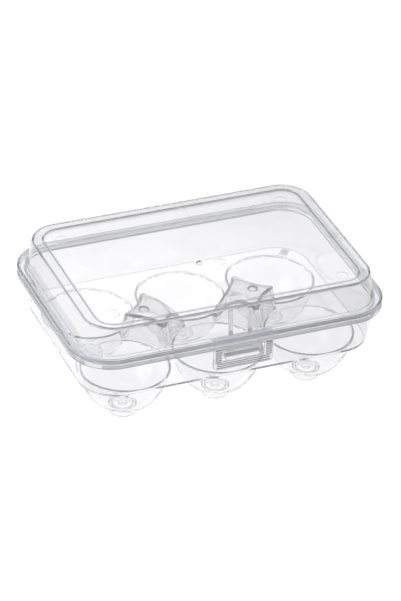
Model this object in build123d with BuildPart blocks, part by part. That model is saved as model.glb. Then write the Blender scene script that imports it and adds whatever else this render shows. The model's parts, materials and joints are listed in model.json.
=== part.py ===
"""Clear hinged-lid box for six eggs: tray with six cups, lid on a rear living hinge, front snap latch.

Frame: +Z up, front at -Y, origin at the bottom centre of the closed box. Millimetres.
"""
from build123d import *
import math
import os

os.makedirs("parts", exist_ok=True)

# ---------------------------------------------------------------- driving dimensions
WALL = 1.0             # general moulded wall
Y_MID = 0.85           # centre of the shell in Y: latch and hinge stand out by different amounts

PITCH_X = 50.0         # cup columns
PITCH_Y = 49.2         # cup rows
ROW_SHIFT = -1.6       # the two rows sit forward of the shell's centre
CUP_R = 22.0           # inside radius of a cup's mouth
CUP_WALL = 0.9

Z_FOOT = 3.6           # height of a foot ring under the cup floor
FOOT_R = 6.85
FOOT_WALL = 1.1
Z_DECK = 26.2          # underside of the deck
DECK_T = 1.0

Z_RIM_LOW = 46.2       # lower edge of the tray's rim skirt
Z_RIM_TOP = 48.9       # upper face of the tray's rim
GAP = 0.3              # air between the two rims when shut
LID_RIM_TOP = 51.9     # upper face of the lid's rim
Z_TOP = 66.1           # top of the lid's border
BORDER_H = 1.0         # the panel is recessed this much inside the border
SKIRT_T = 1.2

DECK_X, DECK_Y, DECK_CR = 153.2, 101.2, 17.0       # tray outline at the deck
MOUTH_X, MOUTH_Y, MOUTH_CR = 158.4, 106.2, 18.5    # tray outline under the rim
RIM_X, RIM_Y, RIM_CR = 166.2, 111.8, 21.0          # both rims, outside
LID_X, LID_Y, LID_CR = 156.6, 104.8, 17.6          # lid wall where it meets its rim
TOP_X, TOP_Y, TOP_CR = 151.8, 100.4, 15.5          # lid wall at the top edge
PANEL_X, PANEL_Y, PANEL_CR = 139.8, 89.8, 9.2      # inner edge of the raised border

POST_H = 12.0          # divider posts above the deck
POST_R_LOW = 23.5      # side arcs about the cup centres, at the deck
POST_R_HIGH = 25.7     # the same at the top
POST_ARM_LOW = 17.0
POST_ARM_HIGH = 15.2
POST_WALL = 1.0

LATCH_W = 32.0
LATCH_T = 1.2
LATCH_LOW = 36.2       # lower edge of the flap
WIN_W, WIN_LOW, WIN_HIGH = 21.8, 40.6, 47.4        # latch window
GRIP_STEP = 1.15       # spacing of the grip ribs on the flap
CATCH_W = 19.2
LATCH_AXIS_Y, LATCH_AXIS_Z = -56.9, 51.9           # relative to the shell's centre
HINGE_AXIS_Y, HINGE_AXIS_Z = 56.9, 49.05
HINGE_L = 110.0

Z_PLATE = Z_RIM_TOP - WALL          # underside of the tray's rim plate
Z_LID_PLATE = LID_RIM_TOP - WALL    # underside of the lid's rim plate
Z_BORDER = Z_TOP - BORDER_H         # underside of the border, top of the panel


def save(builder, name):
    builder.part.label = name
    export_step(builder.part, "parts/%s.step" % name)


def level(z):
    """A horizontal plane at height z on the shell's centre line."""
    return Plane((0, Y_MID, z))


def between(z, z0, a0, z1, a1):
    """A size that tapers in a straight line from a0 at z0 to a1 at z1."""
    return a0 + (a1 - a0) * (z - z0) / (z1 - z0)


def tray_outline(z, inset=0.0):
    return (
        between(z, Z_DECK, DECK_X, Z_PLATE, MOUTH_X) - 2 * inset,
        between(z, Z_DECK, DECK_Y, Z_PLATE, MOUTH_Y) - 2 * inset,
        between(z, Z_DECK, DECK_CR, Z_PLATE, MOUTH_CR) - inset,
    )


def lid_outline(z, inset=0.0):
    return (
        between(z, LID_RIM_TOP, LID_X, Z_TOP, TOP_X) - 2 * inset,
        between(z, LID_RIM_TOP, LID_Y, Z_TOP, TOP_Y) - 2 * inset,
        between(z, LID_RIM_TOP, LID_CR, Z_TOP, TOP_CR) - inset,
    )


COLUMNS = {"left": -PITCH_X, "middle": 0.0, "right": PITCH_X}
ROWS = {"front": -PITCH_Y / 2 + ROW_SHIFT, "back": PITCH_Y / 2 + ROW_SHIFT}
CUP_SPOTS = [(x, y) for y in ROWS.values() for x in COLUMNS.values()]


# ---------------------------------------------------------------- divider post outline
def post_edges(r, arm):
    """Corner points of a four-armed star whose sides are arcs about the four cup centres.

    Each arm ends in a flat as wide as the arcs leave it at that distance.
    """
    hx, hy = PITCH_X / 2, PITCH_Y / 2
    wx = hy - math.sqrt(r * r - (hx - arm) ** 2)   # half width of an arm along X
    wy = hx - math.sqrt(r * r - (hy - arm) ** 2)   # half width of an arm along Y
    return hx, hy, wx, wy


def post_profile(r, arm):
    hx, hy, wx, wy = post_edges(r, arm)
    mid_x = hx - r * math.cos(math.atan2(hy, hx))
    mid_y = hy - r * math.sin(math.atan2(hy, hx))
    Line((arm, -wx), (arm, wx))
    ThreePointArc((arm, wx), (mid_x, mid_y), (wy, arm))
    Line((wy, arm), (-wy, arm))
    ThreePointArc((-wy, arm), (-mid_x, mid_y), (-arm, wx))
    Line((-arm, wx), (-arm, -wx))
    ThreePointArc((-arm, -wx), (-mid_x, -mid_y), (-wy, -arm))
    Line((-wy, -arm), (wy, -arm))
    ThreePointArc((wy, -arm), (mid_x, -mid_y), (arm, -wx))


POSTS = {"left": -PITCH_X / 2, "right": PITCH_X / 2}
POST_Y = Y_MID + ROW_SHIFT


# ================================================================ tray
with BuildPart() as tray_deck:
    with BuildSketch(level(Z_DECK)):
        RectangleRounded(*tray_outline(Z_DECK))
    with BuildSketch(level(Z_DECK + DECK_T)):
        RectangleRounded(*tray_outline(Z_DECK + DECK_T))
    loft()
    with BuildSketch(level(Z_DECK)):
        with Locations(*CUP_SPOTS):
            Circle(CUP_R + CUP_WALL)
    extrude(amount=DECK_T, mode=Mode.SUBTRACT)
    for px in POSTS.values():
        with BuildSketch(Plane((px, POST_Y, Z_DECK))):
            with BuildLine():
                post_profile(POST_R_LOW + POST_WALL, POST_ARM_LOW - POST_WALL)
            make_face()
        extrude(amount=DECK_T, mode=Mode.SUBTRACT)
save(tray_deck, "tray_deck")

with BuildPart() as tray_wall:
    z0, z1 = Z_DECK + DECK_T, Z_PLATE
    with BuildSketch(level(z0)):
        RectangleRounded(*tray_outline(z0))
    with BuildSketch(level(z1)):
        RectangleRounded(*tray_outline(z1))
    loft()
    with BuildSketch(level(z0)):
        RectangleRounded(*tray_outline(z0, WALL))
    with BuildSketch(level(z1)):
        RectangleRounded(*tray_outline(z1, WALL))
    loft(mode=Mode.SUBTRACT)
save(tray_wall, "tray_wall")

with BuildPart() as tray_rim:
    with BuildSketch(level(Z_RIM_LOW)):
        RectangleRounded(RIM_X, RIM_Y, RIM_CR)
    extrude(amount=Z_RIM_TOP - Z_RIM_LOW)
    with BuildSketch(level(Z_RIM_LOW)):
        RectangleRounded(RIM_X - 2 * SKIRT_T, RIM_Y - 2 * SKIRT_T, RIM_CR - SKIRT_T)
    extrude(amount=Z_PLATE - Z_RIM_LOW, mode=Mode.SUBTRACT)
    with BuildSketch(level(Z_PLATE)):
        RectangleRounded(*tray_outline(Z_PLATE, WALL))
    extrude(amount=WALL, mode=Mode.SUBTRACT)
save(tray_rim, "tray_rim")

# cup bowl: half profile in the XZ plane, radius against height
BOWL = [(22.0, 27.2), (21.4, 22.5), (19.3, 16.5), (15.6, 10.6), (11.0, 6.6), (6.6, 4.9)]
Z_FLOOR = Z_FOOT                    # underside of the cup's flat floor
for row, cy in ROWS.items():
    for col, cx in COLUMNS.items():
        plane = Plane(origin=(cx, Y_MID + cy, 0), x_dir=(1, 0, 0), z_dir=(0, -1, 0))
        with BuildPart() as cup:
            with BuildSketch(plane):
                with BuildLine():
                    inner = Spline(*BOWL, tangents=[(0, -1), (-1, -0.2)])
                    floor_in = Line((6.6, 4.9), (0, 4.6))
                    axis_up = Line((0, 4.6), (0, Z_FLOOR))
                    floor_out = Line((0, Z_FLOOR), (7.0, Z_FLOOR))
                    outer = Spline(
                        (7.0, Z_FLOOR), (11.7, 5.8), (16.4, 10.0), (20.2, 16.2), (22.3, 22.4),
                        (CUP_R + CUP_WALL, Z_DECK + DECK_T), tangents=[(1, 0.2), (0, 1)])
                    lip = Line((CUP_R + CUP_WALL, Z_DECK + DECK_T), (CUP_R, Z_DECK + DECK_T))
                make_face()
            revolve(axis=Axis((cx, Y_MID + cy, 0), (0, 0, 1)))
        save(cup, "egg_cup_%s_%s" % (row, col))
        with BuildPart() as foot:
            with BuildSketch(Plane((cx, Y_MID + cy, 0))):
                Circle(FOOT_R)
                Circle(FOOT_R - FOOT_WALL, mode=Mode.SUBTRACT)
            extrude(amount=Z_FLOOR)
        save(foot, "cup_foot_%s_%s" % (row, col))

# posts: hollow, open underneath, the arm towards the middle column slopes down
Z_POST = Z_DECK + DECK_T
for side, px in POSTS.items():
    inward = 1 if side == "left" else -1
    with BuildPart() as post:
        with BuildSketch(Plane((px, POST_Y, Z_POST))):
            with BuildLine():
                post_profile(POST_R_LOW, POST_ARM_LOW)
            make_face()
        with BuildSketch(Plane((px, POST_Y, Z_POST + POST_H))):
            with BuildLine():
                post_profile(POST_R_HIGH, POST_ARM_HIGH)
            make_face()
        loft(ruled=True)
        with BuildSketch(Plane(origin=(0, POST_Y + 30, 0), x_dir=(1, 0, 0), z_dir=(0, -1, 0))):
            with BuildLine():
                Polyline(
                    (px + inward * 5.0, Z_POST + POST_H + 1), (px + inward * 5.0, Z_POST + POST_H),
                    (px + inward * 20.0, Z_POST + 1.5), (px + inward * 20.0, Z_POST + POST_H + 1),
                    close=True)
            make_face()
        extrude(amount=60, mode=Mode.SUBTRACT)
        with BuildSketch(Plane((px, POST_Y, Z_POST))):
            with BuildLine():
                post_profile(POST_R_LOW + POST_WALL, POST_ARM_LOW - POST_WALL)
            make_face()
        with BuildSketch(Plane((px, POST_Y, Z_POST + POST_H - POST_WALL))):
            with BuildLine():
                post_profile(POST_R_HIGH + POST_WALL - 0.2, POST_ARM_HIGH - 3.2)
            make_face()
        hollow = loft(ruled=True, mode=Mode.PRIVATE)
        with BuildPart(mode=Mode.PRIVATE) as core:
            add(hollow)
            with BuildSketch(Plane(origin=(0, POST_Y + 30, 0), x_dir=(1, 0, 0), z_dir=(0, -1, 0))):
                with BuildLine():
                    Polyline(
                        (px + inward * 3.6, Z_POST + POST_H + 1), (px + inward * 3.6, Z_POST + POST_H),
                        (px + inward * 20.0, Z_POST - 0.6), (px + inward * 20.0, Z_POST + POST_H + 1),
                        close=True)
                make_face()
            extrude(amount=60, mode=Mode.SUBTRACT)
        add(core.part, mode=Mode.SUBTRACT)
        with BuildSketch(Plane((px - inward * 4.5, POST_Y + 1.2, Z_POST + POST_H))):
            Circle(2.0)
        extrude(amount=-0.4, mode=Mode.SUBTRACT)
    save(post, "divider_post_%s" % side)

# catch bar under the rim, in the middle of the front wall
FRONT = Plane(origin=(-CATCH_W / 2, Y_MID, 0), x_dir=(0, 1, 0), z_dir=(1, 0, 0))
with BuildPart() as latch_catch:
    z_lo, z_hi = 41.2, Z_RIM_LOW
    y_lo = -tray_outline(z_lo)[1] / 2
    y_hi = -tray_outline(z_hi)[1] / 2
    with BuildSketch(FRONT):
        with BuildLine():
            Polyline((y_lo, z_lo), (-58.2, z_lo), (-58.6, 41.6), (-58.6, 42.6), (-56.0, z_hi), (y_hi, z_hi),
                     close=True)
        make_face()
    extrude(amount=CATCH_W)
save(latch_catch, "latch_catch")

with BuildPart() as hinge_strip:
    with BuildSketch(Plane((0, Y_MID + RIM_Y / 2 + 0.6, 47.0))):
        Rectangle(HINGE_L, 1.2)
    extrude(amount=1.6)
    fillet(hinge_strip.edges().filter_by(Axis.X).group_by(Axis.Y)[-1], 0.45)
save(hinge_strip, "hinge_strip")

# ================================================================ lid
with BuildPart() as lid_rim:
    with BuildSketch(level(Z_RIM_TOP + GAP)):
        RectangleRounded(RIM_X, RIM_Y, RIM_CR)
    extrude(amount=LID_RIM_TOP - Z_RIM_TOP - GAP)
    with BuildSketch(level(Z_RIM_TOP + GAP)):
        RectangleRounded(RIM_X - 2 * SKIRT_T, RIM_Y - 2 * SKIRT_T, RIM_CR - SKIRT_T)
    extrude(amount=Z_LID_PLATE - Z_RIM_TOP - GAP, mode=Mode.SUBTRACT)
    with BuildSketch(level(Z_LID_PLATE)):
        RectangleRounded(*lid_outline(LID_RIM_TOP, WALL))
    extrude(amount=WALL, mode=Mode.SUBTRACT)
save(lid_rim, "lid_rim")

with BuildPart() as lid_wall:
    z0, z1 = LID_RIM_TOP, Z_BORDER
    with BuildSketch(level(z0)):
        RectangleRounded(*lid_outline(z0))
    with BuildSketch(level(z1)):
        RectangleRounded(*lid_outline(z1))
    loft()
    with BuildSketch(level(z0)):
        RectangleRounded(*lid_outline(z0, WALL))
    with BuildSketch(level(z1)):
        RectangleRounded(*lid_outline(z1, WALL))
    loft(mode=Mode.SUBTRACT)
save(lid_wall, "lid_wall")

with BuildPart() as lid_border:
    with BuildSketch(level(Z_BORDER)):
        RectangleRounded(*lid_outline(Z_BORDER))
    with BuildSketch(level(Z_TOP)):
        RectangleRounded(*lid_outline(Z_TOP))
    loft()
    with BuildSketch(level(Z_BORDER)):
        RectangleRounded(PANEL_X, PANEL_Y, PANEL_CR)
    extrude(amount=BORDER_H, mode=Mode.SUBTRACT)
save(lid_border, "lid_border")

with BuildPart() as lid_panel:
    with BuildSketch(level(Z_BORDER - WALL)):
        RectangleRounded(PANEL_X + 2.4, PANEL_Y + 2.4, PANEL_CR + 1.2)
    extrude(amount=WALL)
save(lid_panel, "lid_panel")

# two upright stiffening ribs on the lid's front wall, above the latch
RIB_W = 2.4
for side, rx in {"left": -5.0, "right": 5.2}.items():
    z_lo, z_hi = LID_RIM_TOP, 64.6
    y_lo = -lid_outline(z_lo)[1] / 2
    y_hi = -lid_outline(z_hi)[1] / 2
    with BuildPart() as rib:
        with BuildSketch(Plane(origin=(rx - RIB_W / 2, Y_MID, 0), x_dir=(0, 1, 0), z_dir=(1, 0, 0))):
            with BuildLine():
                Polyline((y_lo, z_lo), (y_lo - 0.9, z_lo), (y_hi - 0.7, z_hi - 0.8), (y_hi, z_hi), close=True)
            make_face()
        extrude(amount=RIB_W)
    save(rib, "lid_rib_%s" % side)

# lip on the lid's rim that the latch hangs from
with BuildPart() as latch_lip:
    with BuildSketch(Plane(origin=(-LATCH_W / 2 + 1, Y_MID, 0), x_dir=(0, 1, 0), z_dir=(1, 0, 0))):
        with BuildLine():
            Polyline((-RIM_Y / 2, 50.3), (-RIM_Y / 2 - 0.9, 51.0), (-RIM_Y / 2 - 0.9, LID_RIM_TOP),
                     (-RIM_Y / 2, LID_RIM_TOP), close=True)
        make_face()
    extrude(amount=LATCH_W - 2)
save(latch_lip, "latch_lip")

# ================================================================ latch
FLAP_IN = LATCH_AXIS_Y - 0.3        # inner face of the flap
FLAP_TOP = LATCH_AXIS_Z - 0.3
with BuildPart() as latch_flap:
    with BuildSketch(Plane(origin=(0, Y_MID + FLAP_IN, 0), x_dir=(1, 0, 0), z_dir=(0, -1, 0))):
        with Locations((0, (LATCH_LOW + FLAP_TOP) / 2)):
            RectangleRounded(LATCH_W, FLAP_TOP - LATCH_LOW, 1.8)
        with Locations((0, (WIN_LOW + WIN_HIGH) / 2)):
            RectangleRounded(WIN_W, WIN_HIGH - WIN_LOW, 0.5, mode=Mode.SUBTRACT)
    extrude(amount=LATCH_T)
    # grip ribs: long ones under the window, short ones beside it
    with BuildSketch(Plane(origin=(0, Y_MID + FLAP_IN - LATCH_T, 0), x_dir=(1, 0, 0), z_dir=(0, -1, 0))):
        for i in range(3):
            with Locations((0, 37.25 + GRIP_STEP * i)):
                Rectangle(28.0, 0.55)
        for i in range(7):
            with Locations((-13.4, 40.65 + GRIP_STEP * i), (13.4, 40.65 + GRIP_STEP * i)):
                Rectangle(3.2, 0.55)
    extrude(amount=0.4)
save(latch_flap, "latch_flap")

print("shell height", Z_TOP, "rim", RIM_X, RIM_Y)
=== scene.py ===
import bpy, bmesh, json, math
from mathutils import Vector, Matrix
from mathutils.geometry import delaunay_2d_cdt

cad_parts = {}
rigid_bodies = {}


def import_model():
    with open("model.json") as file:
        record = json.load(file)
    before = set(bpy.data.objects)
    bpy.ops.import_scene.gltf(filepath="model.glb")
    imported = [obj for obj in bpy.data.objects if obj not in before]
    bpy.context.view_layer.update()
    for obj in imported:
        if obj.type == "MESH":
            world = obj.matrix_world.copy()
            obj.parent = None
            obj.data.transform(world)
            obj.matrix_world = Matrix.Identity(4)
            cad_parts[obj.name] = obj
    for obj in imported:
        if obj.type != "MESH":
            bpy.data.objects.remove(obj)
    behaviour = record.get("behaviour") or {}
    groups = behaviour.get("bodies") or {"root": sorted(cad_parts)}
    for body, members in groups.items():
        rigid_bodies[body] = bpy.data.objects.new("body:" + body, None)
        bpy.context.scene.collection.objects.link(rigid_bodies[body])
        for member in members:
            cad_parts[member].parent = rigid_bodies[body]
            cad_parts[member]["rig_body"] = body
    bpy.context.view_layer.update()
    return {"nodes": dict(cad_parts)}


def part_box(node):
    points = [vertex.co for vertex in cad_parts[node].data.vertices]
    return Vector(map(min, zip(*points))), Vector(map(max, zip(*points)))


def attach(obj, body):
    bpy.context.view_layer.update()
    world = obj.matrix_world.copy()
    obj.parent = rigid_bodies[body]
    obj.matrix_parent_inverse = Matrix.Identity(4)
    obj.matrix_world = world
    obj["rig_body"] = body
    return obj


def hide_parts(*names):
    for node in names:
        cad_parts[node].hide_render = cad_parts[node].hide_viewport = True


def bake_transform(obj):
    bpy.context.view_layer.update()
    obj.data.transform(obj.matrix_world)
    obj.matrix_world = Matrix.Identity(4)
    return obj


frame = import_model()

# ------------------------------------------------------------------ sizes, read from the frame (mm)
def box(n):
    lo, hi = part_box(n)
    return [v * 1000 for v in lo], [v * 1000 for v in hi]

def half(n):
    lo, hi = box(n)
    return (hi[0] - lo[0]) / 2, (hi[1] - lo[1]) / 2

rim_lo, rim_hi = box("tray_rim")
YM = (rim_lo[1] + rim_hi[1]) / 2            # shell centre in Y
RIM_A, RIM_B = half("tray_rim")
RIM_R = 21.0
Z_RIM_LOW, Z_RIM_TOP = rim_lo[2], rim_hi[2]
lrim_lo, lrim_hi = box("lid_rim")
Z_LRIM_LOW, Z_LRIM_TOP = lrim_lo[2], lrim_hi[2]
deck_lo, deck_hi = box("tray_deck")
Z_DECK, Z_DTOP = deck_lo[2], deck_hi[2]
WALL = Z_DTOP - Z_DECK
wall_lo, wall_hi = box("tray_wall")
MOUTH_A, MOUTH_B = half("tray_wall")
MOUTH_R = 18.5
Z_PLATE = wall_hi[2]
DA, DB = half("tray_deck")
k = (Z_DTOP - Z_DECK) / (Z_PLATE - Z_DECK)
DECK_A, DECK_B = (DA - MOUTH_A * k) / (1 - k), (DB - MOUTH_B * k) / (1 - k)
DECK_R = 17.0
LID_A, LID_B = half("lid_wall")
LID_R = 17.6
Z_TOP = box("lid_border")[1][2]
Z_BORDER = box("lid_border")[0][2]
ba, bb = half("lid_border")
k = (Z_BORDER - Z_LRIM_TOP) / (Z_TOP - Z_LRIM_TOP)
TOP_A, TOP_B = (ba - LID_A * (1 - k)) / k, (bb - LID_B * (1 - k)) / k
TOP_R = 15.5
PANEL_A, PANEL_B = half("lid_panel")
PANEL_A, PANEL_B, PANEL_R = PANEL_A - 1.2, PANEL_B - 1.2, 9.2
CUPS = {}
for r in ("front", "back"):
    for c in ("left", "middle", "right"):
        lo, hi = box("egg_cup_%s_%s" % (r, c))
        CUPS[r, c] = ((lo[0] + hi[0]) / 2, (lo[1] + hi[1]) / 2)
CUP_RO = (hi[0] - lo[0]) / 2
CUP_R = CUP_RO - 0.9
flo, fhi = box("cup_foot_front_left")
FOOT_R = (fhi[0] - flo[0]) / 2
FOOT_RI = FOOT_R - 1.1
Z_FLOOR = fhi[2]
PITCH_X = CUPS["back", "right"][0] - CUPS["back", "middle"][0]
PITCH_Y = CUPS["back", "middle"][1] - CUPS["front", "middle"][1]
POSTS = {}
for s in ("left", "right"):
    lo, hi = box("divider_post_" + s)
    POSTS[s] = ((lo[0] + hi[0]) / 2, (lo[1] + hi[1]) / 2)
Z_POST = hi[2]


# ------------------------------------------------------------------ mesh helper
class M:
    def __init__(self):
        self.v, self.n, self.f = [], [], []
        self.line = []                               # faces on rounded edges that get a painted dark shade line

    def add(self, p, n=None):
        self.v.append(tuple(p))
        self.n.append(tuple(n) if n is not None else None)
        return len(self.v) - 1

    def ring(self, pts, nrm=None):
        return [self.add(p, nrm[i] if nrm is not None else None) for i, p in enumerate(pts)]

    def bridge(self, a, b):
        m = len(a)
        for i in range(m):
            j = (i + 1) % m
            self.f.append((a[i], a[j], b[j], b[i]))

    def fan(self, a, centre):
        m = len(a)
        for i in range(m):
            self.f.append((a[i], a[(i + 1) % m], centre))

    def fill(self, outer, holes=(), extra=(), normal=(0, 0, 1), height=None, ax=(0, 1)):
        """Planar fill between vertex loops by constrained Delaunay; extra are free (x, y) points."""
        ids, co, edges = [], [], []
        for loop in [outer] + list(holes):
            s = len(co)
            for i, vi in enumerate(loop):
                ids.append(vi)
                co.append(Vector((self.v[vi][ax[0]], self.v[vi][ax[1]])))
                edges.append((s + i, s + (i + 1) % len(loop)))
        for e in extra:
            z = height(e) if height else self.v[outer[0]][2]
            ids.append(self.add((e[0], e[1], z), None if height else normal))
            co.append(Vector(e))
        vo, eo, fo, ov, oe, of = delaunay_2d_cdt(co, edges, [], 0, 1e-5)
        back = {}
        for new, olds in enumerate(ov):
            if olds:
                back[new] = ids[olds[0]]
        polys = [[(self.v[i][ax[0]], self.v[i][ax[1]]) for i in loop] for loop in [outer] + list(holes)]
        for t in fo:
            cx = sum(vo[i][0] for i in t) / len(t)
            cy = sum(vo[i][1] for i in t) / len(t)
            if not inside(cx, cy, polys[0]) or any(inside(cx, cy, h) for h in polys[1:]):
                continue
            tri = [back[i] for i in t]
            if len(set(tri)) == 3:
                self.f.append(tuple(tri))

    def stand(self):
        """Drawn as (across, up, out) on the front; turned to stand at the shell's front."""
        self.v = [(u, YM - w, v) for u, v, w in self.v]
        self.n = [n and (n[0], -n[2], n[1]) for n in self.n]

    def build(self, name):
        me = bpy.data.meshes.new(name)
        me.from_pydata([(x / 1000, y / 1000, z / 1000) for x, y, z in self.v], [], self.f)
        me.validate()
        bm = bmesh.new()
        bm.from_mesh(me)
        bmesh.ops.recalc_face_normals(bm, faces=bm.faces)
        bm.to_mesh(me)
        bm.free()
        me.shade_smooth()
        me.update()
        own = [v.normal.copy() for v in me.vertices]
        out = []
        for i, v in enumerate(own):
            n = self.n[i]
            if n is None:
                out.append(v)
            else:
                n = Vector(n).normalized()
                out.append(n if n.dot(v) >= 0 else -n)
        me.normals_split_custom_set_from_vertices(out)
        ob = bpy.data.objects.new(name, me)
        bpy.context.scene.collection.objects.link(ob)
        return ob


def inside(x, y, poly):
    c = False
    j = len(poly) - 1
    for i in range(len(poly)):
        xi, yi = poly[i]
        xj, yj = poly[j]
        if (yi > y) != (yj > y) and x < (xj - xi) * (y - yi) / (yj - yi) + xi:
            c = not c
        j = i
    return c


NC = 18                                       # facets in a corner


def outline(a, b, r, cx=0.0, cy=None):
    """Rounded rectangle: points and outward directions, always the same count."""
    cy = YM if cy is None else cy
    pts, out = [], []
    corners = ((1, 1, 0), (-1, 1, 90), (-1, -1, 180), (1, -1, 270))
    for q, (sx, sy, a0) in enumerate(corners):
        ox, oy = sx * (a - r), sy * (b - r)
        for i in range(NC + 1):
            t = math.radians(a0 + 90.0 * i / NC)
            pts.append((cx + ox + r * math.cos(t), cy + oy + r * math.sin(t)))
            out.append((math.cos(t), math.sin(t)))
        # straight side towards the next corner
        nx, ny, n0 = corners[(q + 1) % 4]
        t = math.radians(n0)
        p0 = pts[-1]
        p1 = (cx + nx * (a - r) + r * math.cos(t), cy + ny * (b - r) + r * math.sin(t))
        d = (math.cos(t), math.sin(t))
        for u in (0.02, 0.14, 0.26, 0.38, 0.5, 0.62, 0.74, 0.86, 0.98):
            pts.append((p0[0] + (p1[0] - p0[0]) * u, p0[1] + (p1[1] - p0[1]) * u))
            out.append(d)
    return pts, out


def sweep(m, prof):
    """prof: list of (a, b, r, z, n_out, n_z). Returns the list of rings."""
    rings = []
    for a, b, r, z, no, nz in prof:
        pts, out = outline(a, b, r)
        rings.append(m.ring([(p[0], p[1], z) for p in pts], [(no * o[0], no * o[1], nz) for o in out]))
    for p, q in zip(rings, rings[1:]):
        m.bridge(p, q)
    return rings


def arc(prof, base, centre, rad, a0, a1, n=5, sign=1):
    """Fillet: base gives (A, B, R) for an offset of 0; centre is (offset, z); angles in degrees in (out, z).

    sign +1 for a convex fillet, -1 for a concave one."""
    A, B, R = base
    for i in range(n + 1):
        t = math.radians(a0 + (a1 - a0) * i / n)
        o, z = centre[0] + rad * math.cos(t), centre[1] + rad * math.sin(t)
        prof.append((A + o, B + o, max(R + o, 0.2), z, sign * math.cos(t), sign * math.sin(t)))


def mix(p, q, t):
    return tuple(x + (y - x) * t for x, y in zip(p, q))


def disc_marks(m, spots, z, normal):
    """Loops of shallow round moulding marks in a flat face; returns the outer loops as holes."""
    holes = []
    s = 1 if normal[2] > 0 else -1
    for (x, y, r, depth) in spots:
        rr = []
        for rad, dz, no in ((r + 0.35, 0, 0), (r + 0.12, -0.25 * depth, 0.13), (r - 0.1, -0.8 * depth, 0.13), (r - 0.35, -depth, 0)):
            pts, nn = [], []
            for i in range(28):
                t = 2 * math.pi * i / 28
                pts.append((x + rad * math.cos(t), y + rad * math.sin(t), z + s * dz))
                nn.append((-no * math.cos(t), -no * math.sin(t), s))
            rr.append(m.ring(pts, nn))
        for a, b in zip(rr, rr[1:]):
            m.bridge(a, b)
        m.fan(rr[-1], m.add((x, y, z - s * depth), normal))
        holes.append(rr[0])
    return holes


# ------------------------------------------------------------------ tray
def tray_at(z, inset=0.0):
    A, B, R = mix((DECK_A, DECK_B, DECK_R), (MOUTH_A, MOUTH_B, MOUTH_R), (z - Z_DECK) / (Z_PLATE - Z_DECK))
    return A - inset, B - inset, R - inset


tray = M()
slope = math.degrees(math.atan2((MOUTH_A - DECK_A), (Z_PLATE - Z_DECK)))   # lean of the wall
f1 = 0.65
prof = []
A, B, R = tray_at(Z_DTOP, WALL)
# deck top into the inner face of the wall (concave)
arc(prof, (A, B, R), (-f1, Z_DTOP + f1), f1, -90, -slope, 5, -1)
nw = (math.cos(math.radians(slope)), -math.sin(math.radians(slope)))
for z in (Z_DTOP + 1.4, 33.0, 40.0, Z_RIM_TOP - 1.2):
    a, b, r = tray_at(z, WALL)
    prof.append((a, b, r, z, -nw[0], -nw[1]))
f2 = 0.55
A, B, R = tray_at(Z_RIM_TOP - f2, WALL)
arc(prof, (A, B, R), (f2, Z_RIM_TOP - f2), f2, 180 - slope, 90, 4)
f3 = 1.0
arc(prof, (RIM_A, RIM_B, RIM_R), (-f3, Z_RIM_TOP - f3), f3, 90, 0, 5)
arc(prof, (RIM_A, RIM_B, RIM_R), (-0.35, Z_RIM_LOW + 0.35), 0.35, 0, -90, 3)
arc(prof, (RIM_A, RIM_B, RIM_R), (-1.2 + 0.35, Z_RIM_LOW + 0.35), 0.35, -90, -180, 3)
arc(prof, (RIM_A, RIM_B, RIM_R), (-1.2 - 0.35, Z_PLATE - 0.35), 0.35, 0, 90, 3, -1)
f4 = 0.6
A, B, R = tray_at(Z_PLATE)
arc(prof, (A, B, R), (f4, Z_PLATE - f4), f4, 90, 180 - slope, 4, -1)
for z in (44.5, 38.0, 31.0, Z_DECK + 1.6):
    a, b, r = tray_at(z)
    prof.append((a, b, r, z, nw[0], nw[1]))
f5 = 0.8
A, B, R = tray_at(Z_DECK)
arc(prof, (A + 0.02, B + 0.02, R), (-f5, Z_DECK + f5), f5, -slope, -90, 6)
rings = sweep(tray, prof)
deck_top_outer, deck_low_outer = rings[0], rings[-1]

NR = 96


def circle_ring(m, cx, cy, r, z, no, nz):
    pts, nrm = [], []
    for i in range(NR):
        t = 2 * math.pi * i / NR
        c, s = math.cos(t), math.sin(t)
        pts.append((cx + r * c, cy + r * s, z))
        nrm.append((no * c, no * s, nz))
    return m.ring(pts, nrm)


def spline(pts, t0=None, t1=None, n=26):
    """Smooth curve through (r, z) points, with end directions; returns points and tangents."""
    P = [Vector(p) for p in pts]
    T = []
    for i in range(len(P)):
        if i == 0:
            T.append(Vector(t0).normalized() * (P[1] - P[0]).length if t0 else P[1] - P[0])
        elif i == len(P) - 1:
            T.append(Vector(t1).normalized() * (P[-1] - P[-2]).length if t1 else P[-1] - P[-2])
        else:
            d0, d1 = (P[i] - P[i - 1]), (P[i + 1] - P[i])
            l0, l1 = d0.length, d1.length
            T.append(((d0 / l0) * l1 + (d1 / l1) * l0) / (l0 + l1) * (l0 + l1) / 2)
    out = []
    per = max(2, n // (len(P) - 1))
    for i in range(len(P) - 1):
        L = (P[i + 1] - P[i]).length
        a, b = T[i].normalized() * L, T[i + 1].normalized() * L
        for j in range(per + (1 if i == len(P) - 2 else 0)):
            t = j / per
            h00, h10 = 2 * t ** 3 - 3 * t ** 2 + 1, t ** 3 - 2 * t ** 2 + t
            h01, h11 = -2 * t ** 3 + 3 * t ** 2, t ** 3 - t ** 2
            p = P[i] * h00 + a * h10 + P[i + 1] * h01 + b * h11
            d = (P[i] * (6 * t * t - 6 * t) + a * (3 * t * t - 4 * t + 1) + P[i + 1] * (6 * t - 6 * t * t)
                 + b * (3 * t * t - 2 * t)).normalized()
            out.append((p, d))
    return out


BOWL_IN = [(CUP_R, Z_DTOP - 0.6), (21.45, 22.5), (19.3, 16.5), (15.6, 10.6), (11.0, 6.6), (6.9, 4.95)]
BOWL_OUT = [(CUP_RO, Z_DECK - 0.5), (22.25, 22.0), (20.2, 16.2), (16.4, 10.0), (11.9, 5.9), (7.7, 4.25)]


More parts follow.
